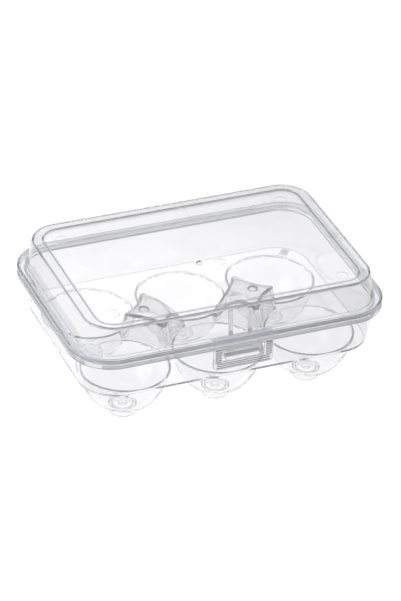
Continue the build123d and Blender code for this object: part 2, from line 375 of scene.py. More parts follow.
def cup(m, cx, cy):
    fl = 0.5
    P = []                                           # (r, z, n_out, n_z) from the deck's top inward and down

    def arcp(c, rad, a0, a1, n, sign):
        for i in range(n + 1):
            t = math.radians(a0 + (a1 - a0) * i / n)
            P.append((c[0] + rad * math.cos(t), c[1] + rad * math.sin(t), sign * math.cos(t), sign * math.sin(t)))

    arcp((CUP_R + fl, Z_DTOP - fl), fl, 90, 180, 5, 1)
    for p, d in spline(BOWL_IN, (0, -1), (-1, -0.12), 30):
        P.append((p.x, p.y, -(-d.y), -d.x) if False else (p.x, p.y, d.y, -d.x))
    # floor, raised moulding button in the middle
    P.append((4.6, 4.72, 0, 1))
    P.append((2.9, 4.62, 0, 1))
    arcp((2.6, 4.95), 0.28, -60, 20 - 90 - 60 + 60, 1, -1)
    P.append((2.35, 5.02, 0.5, 1))
    P.append((2.0, 5.08, 0.05, 1))
    P.append((0.9, 5.08, 0, 1))
    rings = [circle_ring(m, cx, cy, *p) for p in P]
    for a, b in zip(rings, rings[1:]):
        m.bridge(a, b)
    m.fan(rings[-1], m.add((cx, cy, 5.08), (0, 0, 1)))
    top = rings[0]
    P = []
    arcp((CUP_RO + fl, Z_DECK - fl), fl, 90, 180, 5, -1)
    for p, d in spline(BOWL_OUT, (0, -1), (-1, -0.35), 30):
        P.append((p.x, p.y, -d.y, d.x))
    # concave foot of the bowl into the outside of the ring
    P.append((FOOT_R + 0.28, 3.95, 0.7, -0.7))
    P.append((FOOT_R + 0.04, 3.55, 0.97, -0.2))
    P.append((FOOT_R, 3.1, 1, 0))
    P.append((FOOT_R, 0.5, 1, 0))
    arcp((FOOT_R - 0.35, 0.35), 0.35, 0, -90, 3, 1)
    arcp((FOOT_RI + 0.35, 0.35), 0.35, -90, -180, 3, 1)
    arcp((FOOT_RI - 0.4, Z_FLOOR - 0.4), 0.4, 0, 90, 3, -1)
    P.append((3.0, Z_FLOOR, 0, -1))
    P.append((2.7, Z_FLOOR + 0.02, 0.4, -1))
    P.append((2.4, Z_FLOOR + 0.3, 0.5, -1))
    P.append((2.1, Z_FLOOR + 0.34, 0, -1))
    P.append((0.9, Z_FLOOR + 0.34, 0, -1))
    rings = [circle_ring(m, cx, cy, *p) for p in P]
    for a, b in zip(rings, rings[1:]):
        m.bridge(a, b)
    m.fan(rings[-1], m.add((cx, cy, Z_FLOOR + 0.34), (0, 0, -1)))
    return top, rings[0]


tops, lows = [], []
for key, (cx, cy) in CUPS.items():
    t, l = cup(tray, cx, cy)
    tops.append(t)
    lows.append(l)

# ------------------------------------------------------------------ divider posts
HX, HY = PITCH_X / 2, PITCH_Y / 2


def star(r, arm):
    """Closed outline, fixed count: four concave arcs about the cup centres and four rounded arm ends."""
    wx = HY - math.sqrt(max(r * r - (HX - arm) ** 2, 1))
    wy = HX - math.sqrt(max(r * r - (HY - arm) ** 2, 1))
    wx, wy = max(wx, 0.5), max(wy, 0.5)
    q = []
    na, ne = 20, 6
    # from the +X arm's end, anticlockwise
    for i in range(ne):
        q.append((arm, -wx + 2 * wx * i / ne))
    a0 = math.atan2(wx - HY, arm - HX)
    a1 = math.atan2(arm - HY, wy - HX)
    if a0 > 0:
        a0 -= 2 * math.pi
    if a1 > a0:
        a1 -= 2 * math.pi
    for i in range(na):
        t = a0 + (a1 - a0) * i / na
        q.append((HX + r * math.cos(t), HY + r * math.sin(t)))
    for i in range(ne):
        q.append((wy - 2 * wy * i / ne, arm))
    for i in range(na):
        t = a1 + (a0 - a1) * i / na
        q.append((-(HX + r * math.cos(t)), HY + r * math.sin(t)))
    h = [(-x, -y) for x, y in q]
    q = q + h
    # round the corners
    for _ in range(2):
        m = len(q)
        q = [((q[i - 1][0] + 2 * q[i][0] + q[(i + 1) % m][0]) / 4,
              (q[i - 1][1] + 2 * q[i][1] + q[(i + 1) % m][1]) / 4) for i in range(m)]
    return q


R_LOW, R_HIGH, ARM_LOW, ARM_HIGH = 23.6, 25.7, 16.8, 15.2
H_POST = Z_POST - Z_DTOP


def post(m, px, py, inward):
    def cut(x, low, high):
        """Height of the top above the deck: flat, then falling towards the middle column."""
        u = (x - px) * inward
        u0, u1 = 4.0, 15.5
        if u <= u0:
            return high
        s = min((u - u0) / (u1 - u0), 1.2)
        return high - (high - low) * (s * s * (1.6 - 0.6 * s) if s < 1 else 1)

    def build(rl, rh, al, ah, z_from, base_f, top_f, low, high, sign):
        """Rings from the deck (with a base fillet) to the top (with a top fillet)."""
        rings = []
        base = star(rl, al)
        top = star(rh, ah)
        tops_ = [cut(px + p[0] , low, high) for p in top]

        def at(i, t, inset, dz):
            """Point on the side line of vertex i; t is the height above the deck."""
            s = t / high
            x = base[i][0] + (top[i][0] - base[i][0]) * s
            y = base[i][1] + (top[i][1] - base[i][1]) * s
            if inset:
                n = len(base)
                ax, ay = base[(i + 1) % n][0] - base[i - 1][0], base[(i + 1) % n][1] - base[i - 1][1]
                L = math.hypot(ax, ay) or 1
                x -= ay / L * inset
                y += ax / L * inset
            return (px + x, py + y, z_from + t + dz)

        n = len(base)
        fb = base_f
        for j in range(5):                       # base fillet, outside the side line
            a = math.radians(90 * j / 4)
            off, h = fb * (1 - math.sin(a)), fb * (1 - math.cos(a))
            rings.append(m.ring([at(i, h, -off * sign, 0) for i in range(n)],
                                [(0, 0, 1)] * n if j == 0 else None))
        hs = [0.16, 0.34, 0.52, 0.7, 0.86]
        for f in hs:
            rings.append(m.ring([at(i, fb + (tops_[i] - top_f - fb) * f, 0, 0) for i in range(n)]))
        for j in range(6):
            a = math.radians(90 * j / 5)
            ins, dz = top_f * (1 - math.cos(a)), top_f * math.sin(a)
            rings.append(m.ring([at(i, tops_[i] - top_f, ins * sign, dz) for i in range(n)]))
        for k_, (a_, b_) in enumerate(zip(rings, rings[1:])):
            m.bridge(a_, b_)
            # the top fillet's faces are listed for a painted dark shade line
            if sign > 0 and k_ >= len(rings) - 6:
                m.line += range(len(m.f) - n, len(m.f))
        # cap: a few free points carry the slope
        poly = [m.v[i][:2] for i in rings[-1]]
        extra = []
        step = 1.25
        for ix in range(-14, 15):
            for iy in range(-14, 15):
                x, y = px + ix * step + 0.11, py + iy * step + 0.07
                if not inside(x, y, poly):
                    continue
                if min((x - p[0]) ** 2 + (y - p[1]) ** 2 for p in poly) < 0.45 ** 2:
                    continue
                extra.append((x, y))
        dimple = (px - inward * 4.6, py + 1.2)

        def hh(e):
            z = z_from + cut(e[0], low, high)
            if sign > 0:
                d = math.hypot(e[0] - dimple[0], e[1] - dimple[1])
                z -= 0.4 * max(0.0, min(1.0, (2.6 - d) / 0.7))
            return z

        if sign > 0:                             # rings of points round the moulding dimple
            extra = [e for e in extra if math.hypot(e[0] - dimple[0], e[1] - dimple[1]) > 3.1]
            for rad, cnt in ((2.75, 22), (2.45, 22), (2.15, 20), (1.85, 18), (1.0, 8)):
                for i in range(cnt):
                    t = 2 * math.pi * i / cnt
                    e = (dimple[0] + rad * math.cos(t), dimple[1] + rad * math.sin(t))
                    if inside(e[0], e[1], poly):
                        extra.append(e)
        start = len(m.f)
        m.fill(rings[-1], extra=extra, height=hh)
        for i in range(start, len(m.f)):
            c = [sum(m.v[j][q] for j in m.f[i]) / 3 for q in (0, 1)]
            # the dimple's ring faces also get the painted dark shade line
            if sign > 0 and 1.75 < math.hypot(c[0] - dimple[0], c[1] - dimple[1]) < 2.8:
                m.line.append(i)
        return rings[0]

    outer = build(R_LOW, R_HIGH, ARM_LOW, ARM_HIGH, Z_DTOP, 0.6, 1.2, 2.0, H_POST, 1)
    inner = build(R_LOW + 1.0, R_HIGH + 0.8, ARM_LOW - 1.0, ARM_HIGH - 2.4, Z_DECK, 0.4, 0.8, 1.6, H_POST, 1)
    return outer, inner


post_tops, post_lows = [], []
for s, (px, py) in POSTS.items():
    o, i = post(tray, px, py, 1 if s == "left" else -1)
    post_tops.append(o)
    post_lows.append(i)

MARK = (67.0, YM + 43.3)                     # moulding mark on the deck, near the back right corner
tray.fill(deck_top_outer, holes=tops + post_tops + disc_marks(tray, [(MARK[0], MARK[1], 1.9, 0.12)], Z_DTOP, (0, 0, 1)),
          normal=(0, 0, 1))
tray.fill(deck_low_outer, holes=lows + post_lows, normal=(0, 0, -1))
tray_obj = tray.build("tray_moulding")

# ------------------------------------------------------------------ lid
def lid_at(z, inset=0.0):
    A, B, R = mix((LID_A, LID_B, LID_R), (TOP_A, TOP_B, TOP_R), (z - Z_LRIM_TOP) / (Z_TOP - Z_LRIM_TOP))
    return A - inset, B - inset, R - inset


lid = M()
lean = math.degrees(math.atan2(LID_A - TOP_A, Z_TOP - Z_LRIM_TOP))
prof = []
P = (PANEL_A, PANEL_B, PANEL_R)
g = 0.32
prof.append((P[0] - 2.2, P[1] - 2.2, P[2] - 2.2, Z_BORDER, 0, 1))
arc(prof, P, (-0.75, Z_BORDER + 0.75), 0.75, -90, -42, 4, -1)       # the step leans back at about 48 degrees
arc(prof, P, (0.36, Z_TOP - 0.75), 0.75, 138, 90, 4)
f6 = 1.15
T = lid_at(Z_TOP)
arc(prof, T, (-f6, Z_TOP - f6), f6, 90, lean, 7)
nl = (math.cos(math.radians(lean)), math.sin(math.radians(lean)))
for z in (63.4, 59.5, 56.0, Z_LRIM_TOP + 1.3):
    a, b, r = lid_at(z)
    prof.append((a, b, r, z, nl[0], nl[1]))
f7 = 0.7
A, B, R = lid_at(Z_LRIM_TOP)
arc(prof, (A, B, R), (f7, Z_LRIM_TOP + f7), f7, 180 + lean, 270, 4, -1)
f8 = 1.15
arc(prof, (RIM_A, RIM_B, RIM_R), (-f8, Z_LRIM_TOP - f8), f8, 90, 0, 5)
arc(prof, (RIM_A, RIM_B, RIM_R), (-0.35, Z_LRIM_LOW + 0.35), 0.35, 0, -90, 3)
arc(prof, (RIM_A, RIM_B, RIM_R), (-1.2 + 0.35, Z_LRIM_LOW + 0.35), 0.35, -90, -180, 3)
ZLP = Z_LRIM_TOP - WALL
arc(prof, (RIM_A, RIM_B, RIM_R), (-1.2 - 0.35, ZLP - 0.35), 0.35, 0, 90, 3, -1)
f9 = 0.5
A, B, R = lid_at(ZLP, WALL)
arc(prof, (A - 0.05, B - 0.05, R), (f9, ZLP + f9), f9, -90, -180 + lean, 4)
for z in (Z_LRIM_TOP + 1.0, 56.0, 59.5, 63.0):
    a, b, r = lid_at(z, WALL)
    prof.append((a, b, r, z, -nl[0], -nl[1]))
f10 = 0.8
A, B, R = lid_at(Z_BORDER - f10, WALL)
arc(prof, (A, B, R), (-f10, Z_BORDER - f10), f10, lean, 90, 5, -1)
Q = (PANEL_A + 0.6, PANEL_B + 0.6, PANEL_R + 0.6)
arc(prof, Q, (0.36, Z_BORDER - 0.75), 0.75, 90, 138, 4, -1)
arc(prof, Q, (-0.75, Z_BORDER - WALL + 0.75), 0.75, -42, -90, 4)
prof.append((Q[0] - 2.4, Q[1] - 2.4, Q[2] - 2.4, Z_BORDER - WALL, 0, -1))
lrings = sweep(lid, prof)


EJ = [(59.9, YM + 36.8, 3.2, 0.035), (59.9, YM - 39.0, 3.2, 0.035), (-60.3, YM + 36.4, 3.2, 0.03), (-60.3, YM - 35.0, 3.2, 0.035),
      (7.1, YM - 8.1, 2.8, 0.02)]


def gate_mark(m, x, y, z):
    """The snapped-off moulding gate: a low ragged stub in a shallow ring."""
    rr = []
    for rad, dz, no, wob in ((2.6, 0, 0, 0), (2.1, -0.1, 0.3, 0.05), (1.75, -0.16, -0.2, 0.1), (1.45, 0.2, 0.9, 0.12),
                             (1.1, 0.5, 0.6, 0.16), (0.75, 0.3, -0.8, 0.12), (0.4, -0.25, -0.9, 0.05)):
        pts, nn = [], []
        for i in range(28):
            t = 2 * math.pi * i / 28
            q = rad * (1 + wob * (math.sin(3 * t + 0.6) + 0.6 * math.sin(5 * t + rad * 3)))
            pts.append((x + q * math.cos(t), y + q * math.sin(t), z + dz * (1 + 0.3 * math.sin(2 * t + 1) * (wob > 0.08))))
            nn.append((no * math.cos(t), no * math.sin(t), 1))
        rr.append(m.ring(pts, nn if rad > 1.2 else None))
    for a, b in zip(rr, rr[1:]):
        m.bridge(a, b)
    m.fan(rr[-1], m.add((x, y, z - 0.05)))
    return rr[0]


lid.fill(lrings[0], holes=[gate_mark(lid, -3.2, YM - 5.7, Z_BORDER)], normal=(0, 0, 1))
lid.fill(lrings[-1], holes=disc_marks(lid, EJ, Z_BORDER - WALL, (0, 0, -1)), normal=(0, 0, -1))
lid_obj = lid.build("lid_moulding")


# ------------------------------------------------------------------ bars and strips that run along X
def round_poly(pts, rads, n=5):
    """Polygon (anticlockwise) with rounded corners: (out, up) points with their outward directions."""
    out = []
    P = [Vector(p) for p in pts]
    for i, p1 in enumerate(P):
        a, b = P[i - 1] - p1, P[(i + 1) % len(P)] - p1
        la, lb = a.length, b.length
        a, b = a / la, b / lb
        ang = math.acos(max(-1.0, min(1.0, a.dot(b))))
        t = min(rads[i] / math.tan(ang / 2), 0.48 * la, 0.48 * lb)
        r = t * math.tan(ang / 2)
        c = p1 + (a + b).normalized() * (r / math.sin(ang / 2))
        s0, s1 = (p1 + a * t - c) / r, (p1 + b * t - c) / r
        convex = b.x * a.y - b.y * a.x > 0
        sweep_ = math.acos(max(-1.0, min(1.0, s0.dot(s1))))
        for k in range(n + 1):
            f = k / n
            d = (s0 * math.sin((1 - f) * sweep_) + s1 * math.sin(f * sweep_)) / math.sin(sweep_)
            q = c + d * r
            nn = d if convex else -d
            out.append((q.x, q.y, nn.x, nn.y))
    return out


def bar(m, prof, x0, x1, f, steps=(), n=5):
    """Closed bar along X from a (out, up) outline, with its ends rounded by f."""
    rings = []

    def at(x, inset, nx, k):
        pts = [(x, YM - (w - inset * nw), z - inset * nz) for w, z, nw, nz in prof]
        rings.append(m.ring(pts, [(nx, -nw * k, nz * k) for w, z, nw, nz in prof]))
    for k in range(n + 1):
        t = math.radians(90 * k / n)
        at(x0 + f * (1 - math.cos(t)), f * (1 - math.sin(t)), -math.cos(t), math.sin(t))
    for x in steps:
        at(x, 0, 0, 1)
    for k in range(n + 1):
        t = math.radians(90 - 90 * k / n)
        at(x1 - f * (1 - math.cos(t)), f * (1 - math.sin(t)), math.cos(t), math.sin(t))
    for a, b in zip(rings, rings[1:]):
        m.bridge(a, b)
    m.fill(rings[0], ax=(1, 2))
    m.fill(rings[-1], ax=(1, 2))
    return rings


# catch bar under the tray's rim: blunt nose, sloped shoulder
clo, chi = box("latch_catch")
nose = YM - clo[1]
zc = clo[2]
wall_w = lambda z: tray_at(z)[1] + 0.04
catch = M()
bar(catch, round_poly([(wall_w(zc), zc), (nose, zc), (nose, zc + 2.3), (56.0, chi[2]), (wall_w(chi[2]), chi[2])],
                      [0.34, 0.45, 0.7, 0.34, 0.34]), clo[0], chi[0], 0.3)
catch_obj = catch.build("catch_bar")

# stiffening ribs on the lid's front wall
ribs = []
for side in ("left", "right"):
    lo, hi = box("lid_rib_" + side)
    cx, hw = (lo[0] + hi[0]) / 2, (hi[0] - lo[0]) / 2
    m = M()
    rings = []
    z0, z1 = lo[2] + 0.02, hi[2]
    rows = [z0 + (z1 - z0) * t for t in (0, 0.2, 0.4, 0.6, 0.8, 0.9, 0.94, 0.965, 0.985, 1.0)]
    for z in rows:
        face = lid_at(z)[1] + 0.02
        end = max(0.0, (z - (z1 - 1.1)) / 1.1)
        proud = 0.95 * math.sqrt(max(0.0, 1 - end * end)) + 0.05
        pts, nn = [], []
        for i in range(19):
            t = math.pi * i / 18
            ct, st = math.cos(t), math.sin(t)
            u = math.copysign(abs(ct) ** 0.75, ct) * hw
            o = st ** 0.6 * proud if st > 1e-6 else 0.0
            pts.append((cx + u, YM - face - o, z))
            nn.append((ct, -st, 0.08))
        for i in range(1, 6):
            pts.append((cx - hw + 2 * hw * i / 6, YM - face, z))
            nn.append((0, 1, 0))
        rings.append(m.ring(pts, None))
    for a, b in zip(rings, rings[1:]):
        m.bridge(a, b)
    m.fill(rings[0])
    m.fill(rings[-1])
    ribs.append(m.build("stiffening_rib_" + side))

# ------------------------------------------------------------------ latch flap
plo, phi = box("latch_flap")
FW = (phi[0] - plo[0]) / 2
W_OUT = YM - plo[1]                                # crest of the grips
W_FACE = W_OUT - 0.4
W_IN = W_FACE - 1.2
Z_FLO, Z_JOIN = plo[2], 49.1


def loop(m, shape, off, w, no, nw):
    a, b, r, cu, cv = shape
    pts, out = outline(a + off, b + off, max(min(r, 0.9 * b) + off, 0.08), cu, cv)
    return m.ring([(p[0], p[1], w) for p in pts], [(no * o[0], no * o[1], nw) for o in out])


def edge(m, shape, steps):
    rings = [loop(m, shape, *st) for st in steps]
    for a, b in zip(rings, rings[1:]):
        m.bridge(a, b)
    return rings


def turn(off, w, rad, a0, a1, n, sign=1):
    """Steps of a fillet about (off, w) for edge()."""
    res = []
    for i in range(n + 1):
        t = math.radians(a0 + (a1 - a0) * i / n)
        res.append((off + rad * math.cos(t), w + rad * math.sin(t), sign * math.cos(t), sign * math.sin(t)))
    return res


flap = M()
plate = (FW, (Z_JOIN - Z_FLO) / 2, 2.0, 0.0, (Z_JOIN + Z_FLO) / 2)
body = edge(flap, plate, turn(-0.3, W_IN + 0.3, 0.3, -90, 0, 4) + turn(-0.45, W_FACE - 0.45, 0.45, 0, 90, 5))
win = (10.9, 3.4, 0.7, 0.0, 44.0)
hole = edge(flap, win, turn(0.25, W_IN + 0.25, 0.25, -90, -180, 4) + turn(0.4, W_FACE - 0.4, 0.4, 180, 90, 5))
grips = []
GRIP = [(14.0, 0.28, 0.25, 0.0, 37.25 + 1.15 * i) for i in range(3)]
GRIP += [(1.6, 0.28, 0.25, sx * 13.4, 40.65 + 1.15 * i) for i in range(7) for sx in (-1, 1)]
for g_ in GRIP:
    rr = edge(flap, g_, [(0.14, W_FACE, 0, 1), (0.04, W_FACE + 0.03, 0.6, 0.8), (0.0, W_FACE + 0.12, 1, 0.1),
                         (-0.02, W_FACE + 0.24, 0.95, 0.3), (-0.09, W_FACE + 0.36, 0.6, 0.8), (-0.16, W_OUT, 0.1, 1)])
    grips.append(rr[0])
    # the ridge's flank faces are listed for the near-black painted shade
    flap.line += range(len(flap.f) - 5 * len(rr[0]), len(flap.f))
    flap.fill(rr[-1])
flap.fill(body[0], holes=[hole[0]], normal=(0, 0, -1))
flap.fill(body[-1], holes=[hole[-1]] + grips, normal=(0, 0, 1))
flap.stand()
flap_obj = flap.build("flap_plate")

# living hinge of the latch: a bulged web from the lid's rim over its edge to the flap
web = M()
OUTER = [(53.1, 51.93), (54.0, 52.32), (55.2, 52.82), (56.4, 53.0), (57.5, 52.72), (58.15, 51.95), (58.4, 50.9), (58.4, 50.0), (58.4, 49.16)]
INNER = [(57.2, 49.16), (57.22, 50.0), (57.3, 50.7), (57.15, 51.4), (56.6, 51.95), (55.9, 52.1), (55.0, 52.0), (53.9, 51.93)]
def even(curve, n):
    """n + 1 points spread evenly along a curve."""
    P = [p for p, d in curve]
    L = [0.0]
    for a, b in zip(P, P[1:]):
        L.append(L[-1] + (b - a).length)
    out, k = [], 0
    for i in range(n + 1):
        s_ = L[-1] * i / n
        while k < len(P) - 2 and L[k + 1] < s_:
            k += 1
        out.append(P[k].lerp(P[k + 1], (s_ - L[k]) / (L[k + 1] - L[k])))
    return out


so = even(spline(OUTER, (1, 0.25), (0, -1), 64), 40)
si = even(spline(INNER[::-1], (1, 0.05), (0, -1), 64), 40)
rings = []
XS = [-FW + 0.02, -FW + 0.1, -FW + 0.25] + [-FW + 0.5 + (2 * FW - 1.0) * i / 44 for i in range(45)] + [FW - 0.25, FW - 0.1, FW - 0.02]
for x in XS:
    d = FW - abs(x)
    k = 1.0 if d > 0.3 else 0.5 + 0.5 * math.sqrt(max(0.0, 1 - ((0.3 - d) / 0.3) ** 2))
    e = min(max((d + 0.3) / 2.4, 0.0), 1.0)
    e = 0.4 + 0.6 * (e * e * (3 - 2 * e))            # the bulge fades towards both ends
    pts = []
    for side_, other in ((so, si), (si[::-1], so[::-1])):
        for a, b in zip(side_, other):
            c = (a + b) / 2
            q = c + (a - c) * k
            z = q.y if q.y < 51.93 else 51.93 + (q.y - 51.93) * e
            pts.append((x, YM - q.x, z))
    rings.append(web.ring(pts))
for a, b in zip(rings, rings[1:]):
    web.bridge(a, b)
web.fill(rings[0], ax=(1, 2))
web.fill(rings[-1], ax=(1, 2))
web_obj = web.build("latch_web")

# living hinge of the lid: a thin web from rim to rim along the straight part of the back
hlo, hhi = box("hinge_strip")
back = M()
YB = hhi[1] - YM                                   # furthest out
zc = (Z_RIM_TOP + Z_LRIM_LOW) / 2
mid = [(RIM_B + 0.02, zc - 1.75), (RIM_B + 0.42, zc - 1.45), (YB - 0.36, zc - 0.8), (YB - 0.25, zc), (YB - 0.36, zc + 0.8),
       (RIM_B + 0.42, zc + 1.45), (RIM_B + 0.02, zc + 1.75)]
cen = spline(mid, (1, 0.2), (-1, 0.2), 36)
thick = lambda i: 0.2 + 0.12 * abs(2 * i / (len(cen) - 1) - 1) ** 2
left = [(p.x + d.y * thick(i), p.y - d.x * thick(i)) for i, (p, d) in enumerate(cen)]
right = [(p.x - d.y * thick(i), p.y + d.x * thick(i)) for i, (p, d) in enumerate(cen)]
sec = left + right[::-1]
rings = []
H2 = hhi[0]
for x in [-H2, -H2 + 0.1, -H2 + 0.25] + [-H2 + 0.5 + (2 * H2 - 1.0) * i / 60 for i in range(61)] + [H2 - 0.25, H2 - 0.1, H2]:
    d = H2 - abs(x)
    k = 1.0 if d > 0.24 else 0.55 + 0.45 * math.sqrt(max(0.0, 1 - ((0.25 - d) / 0.25) ** 2))
    pts = []
    for (w, z), (c, _) in zip(sec, [q for q in cen] + [q for q in cen][::-1]):
        pts.append((x, YM + max(c.x + (w - c.x) * k, RIM_B + 0.01), c.y + (z - c.y) * k))
    rings.append(back.ring(pts))
for a, b in zip(rings, rings[1:]):
    back.bridge(a, b)
back.fill(rings[0], ax=(1, 2))
back.fill(rings[-1], ax=(1, 2))
back_obj = back.build("hinge_web")


def manifold(ob):
    bm = bmesh.new()
    bm.from_mesh(ob.data)
    bad = [e for e in bm.edges if len(e.link_faces) != 2]
    print(ob.name, "open edges", len(bad), "volume mm3", round(bm.calc_volume() * 1e9, 1), "verts", len(bm.verts))
    bm.free()


OBJS = {"tray_moulding": tray_obj, "lid_moulding": lid_obj, "catch_bar": catch_obj, "flap_plate": flap_obj, "latch_web": web_obj,
        "hinge_web": back_obj, "stiffening_rib_left": ribs[0], "stiffening_rib_right": ribs[1]}
for o in OBJS.values():
    manifold(o)

for o in (tray_obj, catch_obj):
    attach(o, "tray")
for o in (lid_obj, ribs[0], ribs[1]):
    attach(o, "lid")
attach(flap_obj, "latch")
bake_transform(web_obj)
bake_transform(back_obj)
tray_nodes = [n for n in frame["nodes"] if frame["nodes"][n]["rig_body"] == "tray" and n not in ("latch_catch", "hinge_strip")]
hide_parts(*tray_nodes)
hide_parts("lid_panel", "lid_border", "lid_wall", "lid_rim")
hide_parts("latch_catch")
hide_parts("lid_rib_left")
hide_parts("lid_rib_right")
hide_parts("latch_flap")
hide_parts("latch_lip")
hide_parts("hinge_strip")

# ------------------------------------------------------------------ material
def node(nt, kind, **sockets):
    n = nt.nodes.new(kind)
    for k, v in sockets.items():
        n.inputs[k.replace("_", " ")].default_value = v
    return n


def plastic(name, tint, haze, rough, ripple, grain=0.0):
    """Clear moulded polypropylene: a little milky, with flow ripples, soft sheen changes and fine wear. The tint also
    carries the painted shade of the greyer and near-black copies.
    """
    mat = bpy.data.materials.new(name)
    mat.use_nodes = True
    nt = mat.node_tree
    nt.nodes.clear()
    L = nt.links.new
    out = nt.nodes.new("ShaderNodeOutputMaterial")
    p = nt.nodes.new("ShaderNodeBsdfPrincipled")
    p.inputs["Transmission Weight"].default_value = 1.0 - haze
    p.inputs["IOR"].default_value = 1.49
    tc = nt.nodes.new("ShaderNodeTexCoord")
    # colour: broad, faint drift in the tint from the flow of the melt
    drift = node(nt, "ShaderNodeTexNoise", Scale=16.0, Detail=2.0, Roughness=0.5, Distortion=0.6)
    L(tc.outputs["Object"], drift.inputs["Vector"])
    cr = nt.nodes.new("ShaderNodeValToRGB")
    cr.color_ramp.elements[0].position, cr.color_ramp.elements[1].position = 0.3, 0.72
    cr.color_ramp.elements[0].color = (tint[0] * 0.985, tint[1] * 0.985, tint[2] * 0.99, 1)
    cr.color_ramp.elements[1].color = (min(tint[0] * 1.01, 1), min(tint[1] * 1.01, 1), min(tint[2] * 1.008, 1), 1)
    L(drift.outputs["Fac"], cr.inputs[0])
    L(cr.outputs[0], p.inputs["Base Color"])
    # roughness: polished, duller in patches, with fine rubbed specks
    patch = node(nt, "ShaderNodeTexNoise", Scale=70.0, Detail=5.0, Roughness=0.6)
    L(tc.outputs["Object"], patch.inputs["Vector"])
    mr = nt.nodes.new("ShaderNodeMapRange")
    mr.inputs["From Min"].default_value, mr.inputs["From Max"].default_value = 0.35, 0.75
    mr.inputs["To Min"].default_value, mr.inputs["To Max"].default_value = rough, rough * 1.9 + 0.01
    L(patch.outputs["Fac"], mr.inputs["Value"])
    L(mr.outputs[0], p.inputs["Roughness"])
    # bump: long ripples of the moulding, plus a fine satin grain where asked
    stretch = nt.nodes.new("ShaderNodeMapping")
    stretch.inputs["Scale"].default_value = (0.7, 1.0, 1.3)
    L(tc.outputs["Object"], stretch.inputs["Vector"])
    wave = node(nt, "ShaderNodeTexNoise", Scale=55.0, Detail=2.0, Roughness=0.45, Distortion=0.3)
    L(stretch.outputs[0], wave.inputs["Vector"])
    b1 = nt.nodes.new("ShaderNodeBump")
    b1.inputs["Strength"].default_value = ripple
    b1.inputs["Distance"].default_value = 0.002
    L(wave.outputs["Fac"], b1.inputs["Height"])
    last = b1
    if grain:
        fine = node(nt, "ShaderNodeTexNoise", Scale=2600.0, Detail=3.0, Roughness=0.6)
        L(tc.outputs["Object"], fine.inputs["Vector"])
        b2 = nt.nodes.new("ShaderNodeBump")
        b2.inputs["Strength"].default_value = grain
        b2.inputs["Distance"].default_value = 0.0001
        L(fine.outputs["Fac"], b2.inputs["Height"])
        L(b1.outputs[0], b2.inputs["Normal"])
        last = b2
    L(last.outputs[0], p.inputs["Normal"])
    tr = nt.nodes.new("ShaderNodeBsdfTransparent")
    tr.inputs["Color"].default_value = (0.95, 0.95, 0.955, 1)
    lp = nt.nodes.new("ShaderNodeLightPath")
    mx = nt.nodes.new("ShaderNodeMixShader")
    L(lp.outputs["Is Shadow Ray"], mx.inputs[0])
    L(p.outputs[0], mx.inputs[1])
    L(tr.outputs[0], mx.inputs[2])
    L(mx.outputs[0], out.inputs[0])
    return mat


TRAY_MAT = plastic("tray_polypropylene", (0.96, 0.96, 0.965), 0.03, 0.015, 0.03)
LID_MAT = plastic("lid_polypropylene", (0.97, 0.97, 0.975), 0.02, 0.012, 0.02)
LATCH_MAT = plastic("latch_polypropylene", (0.92, 0.92, 0.93), 0.06, 0.03, 0.03, 0.12)
# painted shade: near-black copy of the latch plastic for the grip ridges' flanks, standing in for the dark lines their
# edges show
GRIP_SHADE_MAT = plastic("grip_painted_shade", (0.10, 0.10, 0.104), 0.06, 0.03, 0.03, 0.12)
WEB_MAT = plastic("web_polypropylene", (0.90, 0.91, 0.94), 0.15, 0.06, 0.05, 0.1)
RIB_MAT = plastic("rib_polypropylene", (0.88, 0.88, 0.885), 0.12, 0.05, 0.04)

# painted shade: greyer, slightly blue copy of the clear plastic for the rims' outward faces
RIM_SHADE_MAT = plastic("rim_painted_shade", (0.91, 0.92, 0.945), 0.10, 0.03, 0.04)
# painted shade: dark copy for the inward faces of the rim skirts and the rims' bottoms, where shade falls under the rim
SKIRT_SHADE_MAT = plastic("skirt_painted_shade", (0.36, 0.362, 0.37), 0.10, 0.03, 0.04)
# painted shade: greyer copy for the lid's border band, standing in for the grey that refraction through the rounded
# band gives
BORDER_SHADE_MAT = plastic("border_painted_shade", (0.91, 0.91, 0.915), 0.06, 0.02, 0.03)
# painted shade: greyer copy for the divider posts
POST_SHADE_MAT = plastic("post_painted_shade", (0.83, 0.83, 0.835), 0.07, 0.025, 0.05)
# painted shade: near-black copy for the posts' top fillet and dimple ring, drawn as dark outlines
CREST_SHADE_MAT = plastic("crest_painted_shade", (0.16, 0.16, 0.164), 0.05, 0.03, 0.03)
# painted shade: greyer copy for the cups' feet
FOOT_SHADE_MAT = plastic("foot_painted_shade", (0.88, 0.88, 0.885), 0.04, 0.02, 0.04)
# painted shade: near-black copy for the foot ring's outline where it meets the bowl
RING_SHADE_MAT = plastic("foot_ring_painted_shade", (0.07, 0.07, 0.071), 0.04, 0.02, 0.04)
# painted shade: greyer copy for the walls and the lid's ejector marks
WALL_SHADE_MAT = plastic("wall_painted_shade", (0.91, 0.91, 0.916), 0.03, 0.015, 0.03)
# painted shade: a touch greyer copy for the deck's flat faces
DECK_SHADE_MAT = plastic("deck_painted_shade", (0.95, 0.95, 0.955), 0.03, 0.015, 0.03)
# painted shade: dark copy for the deck's bottom corner, the border's edge lines and the deck's moulding mark
CORNER_SHADE_MAT = plastic("corner_painted_shade", (0.46, 0.46, 0.47), 0.05, 0.02, 0.03)


def finish_with(ob, mat):
    ob.data.materials.clear()
    ob.data.materials.append(mat)


for n_, ob in frame["nodes"].items():
    finish_with(ob, {"tray": TRAY_MAT, "lid": LID_MAT, "latch": LATCH_MAT}[ob["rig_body"]])
finish_with(tray_obj, TRAY_MAT)
finish_with(lid_obj, LID_MAT)
